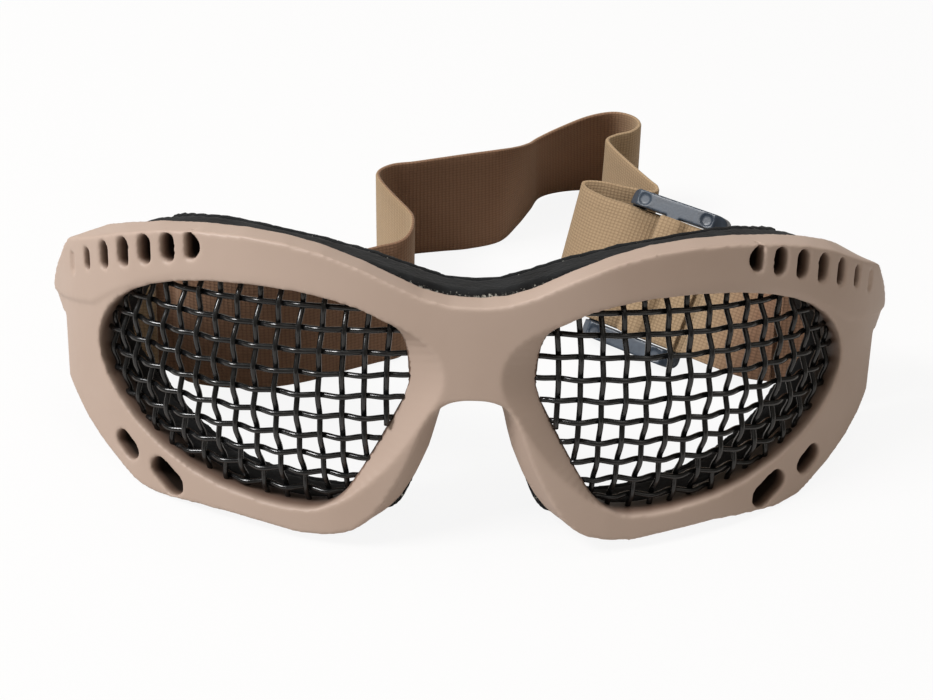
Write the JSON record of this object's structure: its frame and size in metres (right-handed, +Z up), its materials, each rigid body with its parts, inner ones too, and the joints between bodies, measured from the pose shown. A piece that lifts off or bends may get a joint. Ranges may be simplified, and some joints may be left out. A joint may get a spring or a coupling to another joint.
{
  "type": "mesh goggles",
  "caption": "Wraparound goggles with woven wire lenses, a vented moulded frame, a foam face gasket and an elastic strap with a slide.",
  "frame": {"origin": "middle of the footprint, on the table", "axes": "+X across the face to the viewer's right, -Y the goggles' front, +Z up"},
  "size_m": [0.1912, 0.1552, 0.0619],
  "materials": {
    "frame_plastic": "fine matte",
    "mesh_wire": "glossy black",
    "gasket_foam": "open foam",
    "face_lining": "soft nap",
    "elastic_webbing": "ribbed weave",
    "slide_plastic": "satin"
  },
  "bodies": {
    "frame": {"goggle_frame": "frame_plastic", "face_foam": "gasket_foam", "face_lining": "face_lining", "mesh_right_weft": "mesh_wire", "mesh_right_warp": "mesh_wire", "mesh_left_weft": "mesh_wire", "mesh_left_warp": "mesh_wire", "strap_left_loop": "elastic_webbing", "strap_right_loop": "elastic_webbing"},
    "strap": {"strap_left_run": "elastic_webbing", "strap_back_run": "elastic_webbing", "strap_slack_fold": "elastic_webbing", "strap_adjuster_run": "elastic_webbing", "strap_return": "elastic_webbing"},
    "slide": {"strap_slide": "slide_plastic", "strap_sewn_end": "elastic_webbing"}
  },
  "joints": [
    {"name": "strap_swing", "type": "hinge", "parent": "frame", "child": "strap", "pos_m": [0.00005, -0.01718, 0.01864], "axis": [0.9998, 0.0172, -0.0049], "range_deg": [-25, 45]},
    {"name": "slide_travel", "type": "slide", "parent": "strap", "child": "slide", "axis": [0.8192, -0.5736, 0], "range_m": [0, 0.012], "deforming": ["strap_return"]}
  ]
}
